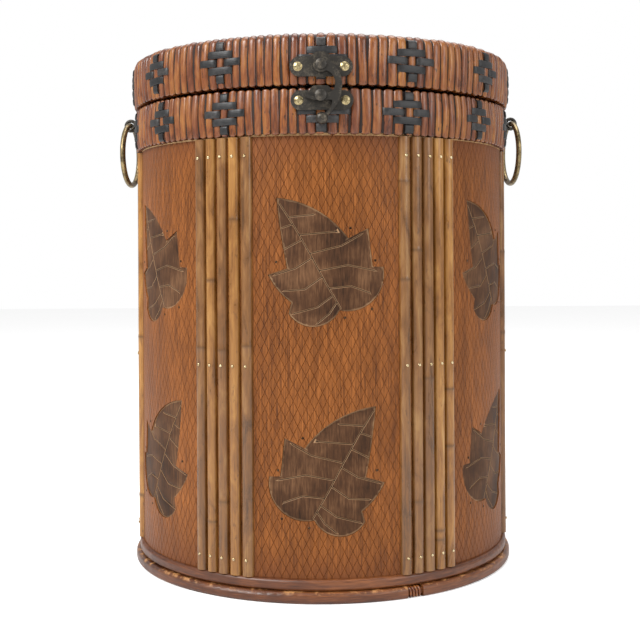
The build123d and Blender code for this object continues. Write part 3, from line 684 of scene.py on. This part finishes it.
def made_by_nodes(name, start, tree, **values):
    """Runs a tree on an object, keeps the result as a plain mesh and clears the modifier away."""
    modifier = start.modifiers.new(tree.name, "NODES")
    modifier.node_group = tree
    sockets = {item.name: item.identifier for item in tree.interface.items_tree if item.in_out == "INPUT"}
    for label, value in values.items():
        modifier[sockets[label.replace("_", " ")]] = value
    ready = start.evaluated_get(bpy.context.evaluated_depsgraph_get())
    mesh = bpy.data.meshes.new_from_object(ready)
    start.modifiers.remove(modifier)
    made = bpy.data.objects.new(name, mesh)
    bpy.context.scene.collection.objects.link(made)
    bpy.data.objects.remove(start)
    return made


def nailing_tree():
    """A nail head on each point, turned by the point's own angle round the drum."""
    tree, given, out = nodes_tree("nail_heads", ("Head", "NodeSocketObject"),
                                  ("Finish", "NodeSocketMaterial"))
    head = add(tree, "GeometryNodeObjectInfo", {"Object": given["Head"]}).outputs["Geometry"]
    turn = add(tree, "GeometryNodeInputNamedAttribute", {"Name": "turn"},
               data_type="FLOAT").outputs["Attribute"]
    angles = add(tree, "ShaderNodeCombineXYZ", {"X": math.pi / 2, "Z": turn}).outputs["Vector"]
    onto = add(tree, "GeometryNodeInstanceOnPoints",
               {"Points": given["Geometry"], "Instance": head, "Rotation": angles}).outputs["Instances"]
    real = add(tree, "GeometryNodeRealizeInstances", {"Geometry": onto}).outputs["Geometry"]
    shown = add(tree, "GeometryNodeSetMaterial", {"Geometry": real, "Material": given["Finish"]})
    tree.links.new(shown.outputs["Geometry"], out.inputs["Geometry"])
    return tree


nailing = nailing_tree()


def nailed(name, spots, radius, rise, seat, material, replaced):
    """All heads of one kind at their (angle, height) spots."""
    points = [place((angle, height, seat)) for angle, height in spots]
    carrier = new_piece(name + "_spots", points, [], [], None, {"turn": [angle for angle, _ in spots]})
    head = nail_head(name + "_head", radius, rise)
    heads = made_by_nodes(name, carrier, nailing, Head=head, Finish=material)
    bpy.data.objects.remove(head)
    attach(heads, "chest_body")
    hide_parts(replaced)


pin_brass = brushed_brass("polished_brass_pins", "#E8D6AE", "#9C8154", 0.24)
brad_steel = brushed_brass("blackened_brads", "#5A4636", "#2A1D14", 0.45)
pin_heights = [25.5 * MM, 150.7 * MM, 287 * MM]
pole_crown = pole_seat + pole_rise
pin_radius, pin_rise, pin_sink = 1.05 * MM, 0.7 * MM, 0.1 * MM
pin_spots = [(pole_angle(group, member), height) for group in range(len(pole_names))
             for member in range(poles_in_group) for height in pin_heights]
nailed("brass_pin_heads", pin_spots, pin_radius, pin_rise, pole_crown - pin_sink, pin_brass,
       "pole_pins")
brad_places = [(15.7, 21.8), (-32.4, 0.3), (32.0, 0.9), (29.7, -30.2), (11.8, -35.7)]
brad_radius, brad_rise = 0.85 * MM, 0.35 * MM
brad_spots = [(pattern_turn + panel_angle * index + hand * side * MM / panel_outer,
               leaf_heights[label] + rise * MM)
              for index in range(len(panel_sides)) for label, hand in leaf_hands.items()
              for side, rise in brad_places]
nailed("dark_brad_heads", brad_spots, brad_radius, brad_rise, panel_outer, brad_steel,
       "leaf_brads")


# Wound rattan: split strands laid side by side over the hoops of the rim and the lid, from inside the top
# edge down to the lower edge. Stained red-brown, with a glossy back, painted shadow in the gaps and darker,
# tighter ends.
band_bulge = 1.3 * MM


def bulged_side(outer, low, high):
    """The radius of a band's bulging side at a height between its edges."""
    half = (high - low) / 2
    curve = (half**2 + band_bulge**2) / (2 * band_bulge)
    return lambda z: outer - curve + math.sqrt(max(0.0, curve**2 - (z - (low + high) / 2) ** 2))


def band_profile(inner, outer, low, high, low_edge, high_edge, lip_inner):
    """The path of a strand, as (radius, height) points from the lower edge, up the side and over."""
    reach = bulged_side(outer, low, high)
    path = [(inner, low), ((inner + reach(low)) / 2, low)]
    corner = reach(low + low_edge) - low_edge
    for i in range(5):
        a = -math.pi / 2 + math.pi / 2 * i / 4
        path.append((corner + low_edge * math.cos(a), low + low_edge + low_edge * math.sin(a)))
    for i in range(1, 12):
        z = low + low_edge + (high - low - low_edge - high_edge) * i / 12
        path.append((reach(z), z))
    corner = reach(high - high_edge) - high_edge
    for i in range(6):
        a = math.pi / 2 * i / 5
        path.append((corner + high_edge * math.cos(a), high - high_edge + high_edge * math.sin(a)))
    path.append((min(lip_inner, corner - 0.3 * MM), high))
    return path


def strand_angles(motifs, between, back):
    """Angle of every strand, evenly placed between the woven motifs, and each motif's own step."""
    rest = 2 * math.pi - (motifs[-1] - motifs[0])
    angles = list(motifs)
    for i in range(1, len(back)):
        angles.append(motifs[-1] + rest * i / len(back))
    counts = between + back
    ends = angles[1:] + [angles[0] + 2 * math.pi]
    steps = [(after - here) / count for here, after, count in zip(angles, ends, counts)]
    strands = [(here + step * k, step)
               for here, step, count in zip(angles, steps, counts) for k in range(count)]
    return angles, steps, strands


def outward_of(path):
    """The direction square to a path at each of its points, away from the band's inside."""
    tangent = np.gradient(path, axis=0)
    tangent /= np.linalg.norm(tangent, axis=1)[:, None]
    return np.stack([tangent[:, 1], -tangent[:, 0]], axis=1)


def wound_band(path, strands, seed, thickness, share=0.88):
    """Every strand of a band as a flat-backed oval strip along the path, with a hand's unevenness."""
    local = np.random.default_rng(seed)
    path = np.array(path)
    outward = outward_of(path)
    along = np.linspace(0, 1, len(path))
    section = [(math.cos(math.pi * k / 6), math.sin(math.pi * k / 6)) for k in range(7)]
    points, faces, ends = [], [], []
    for angle, step in strands:
        wave = local.uniform(0, 6.28, 4)
        size = local.uniform(0.92, 1.04)
        deep = local.uniform(0.75, 1.0)
        first = len(points)
        for i, ((r, z), t) in enumerate(zip(path, along)):
            pinch = 1 - 0.16 * math.exp(-(t / 0.12) ** 2) - 0.14 * math.exp(-((t - 1.0) / 0.12) ** 2)
            wide = step / 2 * share * size * pinch * (1 + 0.05 * math.sin(6 * t + wave[0]))
            shift = 0.28 * MM / r * (math.sin(5 * t + wave[1]) + 0.6 * math.sin(11 * t + wave[2]))
            rise = thickness * deep * (0.9 + 0.1 * math.sin(7 * t + wave[3]))
            base_r = r - outward[i, 0] * thickness
            base_z = z - outward[i, 1] * thickness
            for c, s in section:
                turn = angle + shift + wide * c
                lift = rise * s**0.7
                points.append(place((turn, base_z + outward[i, 1] * lift, base_r + outward[i, 0] * lift)))
                ends.append(abs(2 * t - 1) ** 3)
        row = len(section)
        for i in range(len(path) - 1):
            a, b = first + i * row, first + (i + 1) * row
            for k in range(row - 1):
                faces.append((a + k, b + k, b + k + 1, a + k + 1))
            faces.append((a + row - 1, b + row - 1, b, a))
        faces.append(tuple(first + k for k in range(row)))
        last = first + (len(path) - 1) * row
        faces.append(tuple(last + k for k in reversed(range(row))))
    return points, faces, ends


def backing_band(path, inset, around=160):
    """A dark core of painted shadow seen in the gaps: the same band, set in, closed back through its inside.
    """
    path = np.array(path)
    loop = [(r - side * inset, z - up * inset) for (r, z), (side, up) in zip(path, outward_of(path))]
    points, faces = [], []
    for k in range(around):
        turn = 2 * math.pi * k / around
        points += [place((turn, z, r)) for r, z in loop]
    row = len(loop)
    for k in range(around):
        a, b = k * row, (k + 1) % around * row
        for i in range(row):
            j = (i + 1) % row
            faces.append((a + i, b + i, b + j, a + j))
    return points, faces


def stained_rattan():
    made, tree, shader = blank_material("stained_glossy_rattan")
    each = add(tree, "ShaderNodeNewGeometry").outputs["Random Per Island"]
    fibres = noise(tree, stretched(tree, 1500, 1500, 110), 4, 0.6)
    patches = noise(tree, stretched(tree, 120, 120, 55), 3, 0.6, 0.5)
    tone = blended(tree, 0.45, patches, fibres)
    warm = ramp(tree, tone, (0.34, "#4A210A"), (0.48, "#85491A"), (0.6, "#9B6225"), (0.74, "#C08A4A"))
    red = ramp(tree, tone, (0.34, "#351608"), (0.5, "#683419"), (0.68, "#875029"))
    colour = blended(tree, remapped(tree, each, 0.25, 0.85, 0.05, 0.95), warm, red)
    ends = remapped(tree, attribute(tree, "ends"), 0.15, 0.85, 0.0, 0.8)
    colour = blended(tree, ends, colour, linear("#47200F"))
    flecks = remapped(tree, noise(tree, stretched(tree, 420, 420, 200), 2, 0.5), 0.66, 0.72, 0.0, 0.8)
    colour = blended(tree, flecks, colour, linear("#2B140A"))
    surface(tree, shader, colour, remapped(tree, patches, 0.3, 0.7, 0.26, 0.42), fibres, 0.4,
            Coat_Weight=0.3, Coat_Roughness=0.2)
    return made


def gap_shadow_rattan():
    # Painted shadow: a near-black core that stands for the shade seen between the strands.
    made, tree, shader = blank_material("painted_gap_shadow_core")
    grain = noise(tree, stretched(tree, 300, 300, 300), 3)
    surface(tree, shader, ramp(tree, grain, (0.3, "#120905"), (0.7, "#2A160C")), 0.7, grain, 0.2)
    return made


rattan = stained_rattan()
gap_shadow_core = gap_shadow_rattan()
strand_thickness = 2.0 * MM


def band_piece(name, path, strands, seed, body, node):
    """A band's strands and the painted-shadow core behind them, as one piece."""
    points, faces, ends = wound_band(path, strands, seed, strand_thickness)
    core_points, core_faces = backing_band(path, strand_thickness * 0.8)
    strand_faces = len(faces)
    faces = faces + [tuple(i + len(points) for i in f) for f in core_faces]
    ends = ends + [1.0] * len(core_points)
    band = new_piece(name, points + core_points, faces, [rattan, gap_shadow_core], 60, {"ends": ends})
    for i, polygon in enumerate(band.data.polygons):
        polygon.material_index = 0 if i < strand_faces else 1
    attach(band, body)
    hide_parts(node)


rim_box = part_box("rim_wrap")
rim_low, rim_high = rim_box[0][2], rim_box[1][2]
rim_outer = rim_box[1][0]
lid_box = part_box("lid_wrap")
lid_low, lid_high = lid_box[0][2], lid_box[1][2]
lid_outer = lid_box[1][0]
hoop_outer = 134.5 * MM
band_edge = 1.6 * MM
lid_top_edge = 6 * MM
rim_lip, lid_foot, lid_lip = 128.3 * MM, 131.2 * MM, 134.8 * MM
rim_motifs = [math.radians(a) for a in (-52.0, -27.0, 0.0, 24.6, 51.6)]
lid_motifs = [math.radians(a) for a in (-54.0, -27.7, 0.0, 25.2, 54.8)]
rim_angles, rim_steps, rim_strands = strand_angles(rim_motifs, [10, 11, 8, 11], [10] * 10)
lid_angles, lid_steps, lid_strands = strand_angles(lid_motifs, [10, 12, 9, 11],
                                                   [11, 11, 11, 10, 11, 11, 11, 10, 11])
rim_path = band_profile(hoop_outer, rim_outer, rim_low, rim_high, band_edge, band_edge, rim_lip)
lid_path = band_profile(lid_foot, lid_outer, lid_low, lid_high, band_edge, lid_top_edge, lid_lip)
band_piece("wound_rattan_rim", rim_path, rim_strands, 5, "chest_body", "rim_wrap")
band_piece("wound_rattan_lid", lid_path, lid_strands, 6, "lid", "lid_wrap")


# Black cane: flat strips, dyed black, tucked over and under the strands as small crosses.
# The bark side is kept outwards, so each strip has fine ridges along it and a low satin shine.
strip_crown = 0.35 * MM
strip_ridge = 0.07 * MM
strip_rise = 0.25 * MM
strip_sink = 0.8 * MM
strip_dip = 1.5 * MM
strip_slant = 0.25


def cane_strip(angle_from, angle_to, height_from, height_to, reach, upright, seed):
    """One strip that curves with the band and dips at both ends, ribbed along its length."""
    local = np.random.default_rng(seed)
    long_steps, wide_steps = 10, 12
    points, faces = [], []
    lean = local.uniform(-strip_slant, strip_slant) * MM
    for side in (1, 0):
        for i in range(long_steps + 1):
            t = i / long_steps
            dip = strip_dip * (abs(2 * t - 1) ** 5)
            for k in range(wide_steps + 1):
                u = k / wide_steps
                rib = strip_ridge * math.sin(u * math.pi * 9) + strip_crown * math.sin(u * math.pi) ** 0.6
                if upright:
                    turn = angle_from + (angle_to - angle_from) * u
                    z = height_from + (height_to - height_from) * t
                else:
                    turn = angle_from + (angle_to - angle_from) * t
                    z = height_from + (height_to - height_from) * u + lean * (2 * t - 1)
                lift = strip_rise + rib if side else -strip_sink
                points.append(place((turn, z, reach(z) - dip + lift)))
    row = wide_steps + 1
    half = (long_steps + 1) * row
    for i in range(long_steps):
        for k in range(wide_steps):
            a = i * row + k
            quad = (a, a + 1, a + row + 1, a + row)
            faces.append(quad)
            faces.append(tuple(half + j for j in reversed(quad)))
    rim = list(range(row)) + [i * row + wide_steps for i in range(1, long_steps + 1)]
    rim += [long_steps * row + k for k in reversed(range(wide_steps))]
    rim += [i * row for i in reversed(range(1, long_steps))]
    for a, b in zip(rim, rim[1:] + rim[:1]):
        faces.append((b, a, half + a, half + b))
    return points, faces


def dyed_cane():
    made, tree, shader = blank_material("black_dyed_cane")
    each = add(tree, "ShaderNodeNewGeometry").outputs["Random Per Island"]
    pale_patches = noise(tree, stretched(tree, 500, 500, 500), 4, 0.6)
    tone = blended(tree, 0.35, pale_patches, each)
    colour = ramp(tree, tone, (0.3, "#0F0F10"), (0.55, "#222121"), (0.8, "#403C3A"))
    surface(tree, shader, colour, remapped(tree, pale_patches, 0.3, 0.7, 0.36, 0.55), pale_patches, 0.25)
    return made


black_cane = dyed_cane()
row_pitch = 5.3 * MM
strip_half = 2.35 * MM
strip_set_in = 0.1 * MM
tip_reach, row_reach, wing_start, wing_end = 0.46, 1.55, 0.45, 2.6
tip_stretch = 1.35
hinge_reach = 16 * MM
hinge_half = math.asin(hinge_reach / rim_outer)


def woven_crosses(name, angles, steps, low, high, outer, body, node):
    """The crosses of one band: three rows across, with the upright seen above and below them."""
    middle = (low + high) / 2
    side = bulged_side(outer, low, high)

    def reach(z):
        return side(z) - strip_set_in

    points, faces = [], []
    for index, angle in enumerate(angles):
        left, right = steps[index - 1], steps[index]
        rows = [
            (2, angle - left * tip_reach, angle + right * tip_reach, True),
            (1, angle - left * row_reach, angle + right * row_reach, False),
            (0, angle - left * wing_end, angle - left * wing_start, False),
            (0, angle + right * wing_start, angle + right * wing_end, False),
            (-1, angle - left * row_reach, angle + right * row_reach, False),
            (-2, angle - left * tip_reach, angle + right * tip_reach, True),
        ]
        for number, (row, start, end, upright) in enumerate(rows):
            z = middle + row * row_pitch
            if math.pi - hinge_half < end and start < math.pi + hinge_half:
                continue
            tall = strip_half * (tip_stretch if upright else 1.0)
            strip_points, strip_faces = cane_strip(start, end, z - tall, z + tall, reach, upright,
                                                   index * 10 + number)
            faces += [tuple(i + len(points) for i in f) for f in strip_faces]
            points += strip_points
    crosses = new_piece(name, points, faces, [black_cane], 60)
    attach(crosses, body)
    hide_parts(node)


woven_crosses("black_cane_rim", rim_angles, rim_steps, rim_low, rim_high, rim_outer,
              "chest_body", "rim_weavers")
woven_crosses("black_cane_lid", lid_angles, lid_steps, lid_low, lid_high, lid_outer,
              "lid", "lid_weavers")


# Cane binding: one strand wound four times round the lower hoop, to hide where its ends meet.
# It is the same stained rattan as the bands, and stays the CAD strand with that finish.
finish("base_binding", rattan)


# Lid top: a round of the same scored veneer, let in behind the wound edge, with a bent bead round it.
# No view of the photograph reaches it, so it repeats the panels' lattice and finish.
lid_pitch_across, lid_pitch_along = 7.2 * MM, 10.2 * MM
lid_sides = 96
lid_painted_shade_reach = 26 * MM


def lid_top():
    """Points, faces and marks of the round, with its rim cut in short straight sides."""
    low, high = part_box("lid_panel")
    radius, foot, top = high[0], low[2], high[2]
    mesh, mark = lattice_sheet(radius, -radius, radius, lid_pitch_across, lid_pitch_along)
    for k in range(lid_sides):
        turn = 2 * math.pi * k / lid_sides
        normal = (math.cos(turn), math.sin(turn), 0)
        trimmed(mesh, [radius * math.cos(math.pi / lid_sides) * c for c in normal], normal)
    closed_slab(mesh, mark, top - foot)
    mesh.verts.ensure_lookup_table()
    mesh.verts.index_update()
    points = [(v.co.x, v.co.y, top + v.co.z) for v in mesh.verts]
    # The shade mark is painted shade, darker towards the round's edge by the wound band.
    marks = {"groove": [v[mark] for v in mesh.verts],
             "shade": [max(0.0, 1 - (radius - math.hypot(v.co.x, v.co.y)) / lid_painted_shade_reach)
                       for v in mesh.verts]}
    faces = [tuple(v.index for v in f.verts) for f in mesh.faces]
    mesh.free()
    return points, faces, marks


top_points, top_faces, top_marks = lid_top()
top_sheet = new_piece("scored_lid_top", top_points, top_faces, [veneer], 25, top_marks)
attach(top_sheet, "lid")
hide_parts("lid_panel")


# Hardware: latch, hinge, eyes and nuts are stamped and cast brass with an antique bronze finish.
# The chemical patina is brown-black and uneven, with paler patches where hands have rubbed it.
def antique_bronze(name, dark, light, worn_from, worn_to, roughness=0.42):
    made, tree, shader = blank_material(name)
    patina = noise(tree, stretched(tree, 210, 210, 210), 4, 0.6)
    grit = noise(tree, stretched(tree, 1500, 1500, 1500), 3, 0.6)
    tone = blended(tree, 0.4, patina, grit)
    colour = ramp(tree, tone, (0.3, dark), (worn_from, dark), (worn_to, light))
    gloss = remapped(tree, grit, 0.3, 0.7, roughness - 0.08, roughness + 0.12)
    surface(tree, shader, colour, gloss, grit, 0.25, 0.1 * MM, Metallic=0.85)
    return made


bronze = antique_bronze("antique_bronze_patina", "#3F3C38", "#7B7162", 0.5, 0.72)
for node in ("latch_plate", "catch_plate", "swing_arm", "pivot_rivet", "catch_post", "hinge_leaf_body",
             "hinge_leaf_lid", "hinge_pin", "handle_nuts", "handle_eye_left", "handle_eye_right"):
    finish(node, bronze)
screw_brass = brushed_brass("brushed_brass_screws", "#C9B88C", "#7A6A48", 0.34)
for node in ("latch_screws", "catch_screws", "hinge_screws_body", "hinge_screws_lid"):
    finish(node, screw_brass)


# Ring pulls: 4 mm brass wire bent to a 50 mm ring and brazed, lacquered over a brown antique finish.
# They hang free in their eyes, and the finish has worn to a warmer gold in patches.
ring_bronze = antique_bronze("antique_brass_ring_wire", "#5B4E38", "#A8946A", 0.42, 0.62, 0.32)
for node in ("ring_left", "ring_right"):
    finish(node, ring_bronze)


# Studio: white floor and backdrop, a large soft key on the left, a weaker fill and a top light.
# The floor glows a little to the camera alone, which brings it near the white of the backdrop.
def lamp(name, place_at, aim, size, power, colour="#FFFFFF"):
    light = bpy.data.lights.new(name, "AREA")
    light.shape = "DISK"
    light.size = size
    light.energy = power
    light.color = linear(colour)[:3]
    made = bpy.data.objects.new(name, light)
    made.location = place_at
    made.rotation_euler = (Vector(aim) - Vector(place_at)).to_track_quat("-Z", "Y").to_euler()
    bpy.context.scene.collection.objects.link(made)


middle = (0, 0, 0.19)
lamp("key", (-1.0, -1.0, 1.25), (0, 0, 0.24), 0.9, 27)
lamp("fill", (1.3, -1.1, 0.8), middle, 1.0, 8)
lamp("top", (0.1, 0.2, 1.5), middle, 1.2, 14)

world = bpy.data.worlds.new("studio")
bpy.context.scene.world = world
world.use_nodes = True
sky = world.node_tree
sky.nodes.clear()
rays = add(sky, "ShaderNodeLightPath").outputs
soft = add(sky, "ShaderNodeBackground", {"Color": linear("#FFFFFF"), "Strength": 0.55})
white = add(sky, "ShaderNodeBackground", {"Color": linear("#FFFFFF"), "Strength": 1.0})
mixed = add(sky, "ShaderNodeMixShader",
            {"Fac": rays["Is Camera Ray"], 1: soft.outputs[0], 2: white.outputs[0]})
add(sky, "ShaderNodeOutputWorld", {"Surface": mixed.outputs[0]})

floor_glow = 0.42
floor = new_piece("floor", [(-4, -4, 0), (4, -4, 0), (4, 4, 0), (-4, 4, 0)], [(0, 1, 2, 3)], [])
made, tree, shader = blank_material("white_floor")
shader.inputs["Base Color"].default_value = linear("#F2F2F2")
shader.inputs["Roughness"].default_value = 0.9
floor_rays = add(tree, "ShaderNodeLightPath").outputs
shader.inputs["Emission Color"].default_value = linear("#FFFFFF")
tree.links.new(multiplied(tree, floor_rays["Is Camera Ray"], floor_glow), shader.inputs["Emission Strength"])
floor.data.materials.append(made)


# Camera: level, 0.84 m from the drum's axis and at 0.22 m, with a third of a degree of roll.
# Its frame is shifted down and a little to one side, to fit the photograph.
camera_distance = 0.840
camera_height = 0.2214
camera_roll = math.radians(-0.32)
camera_data = bpy.data.cameras.new("camera")
camera_data.lens = 62
camera_data.sensor_width = 36
camera_data.shift_y = -0.0987
camera_data.shift_x = -0.0022
camera = bpy.data.objects.new("camera", camera_data)
camera.matrix_world = (Matrix.Translation((0, -camera_distance, camera_height))
                       @ Matrix.Rotation(math.radians(90), 4, "X") @ Matrix.Rotation(camera_roll, 4, "Z"))
bpy.context.scene.collection.objects.link(camera)
bpy.context.scene.camera = camera
bpy.context.scene.view_settings.view_transform = "Standard"

bpy.context.view_layer.update()
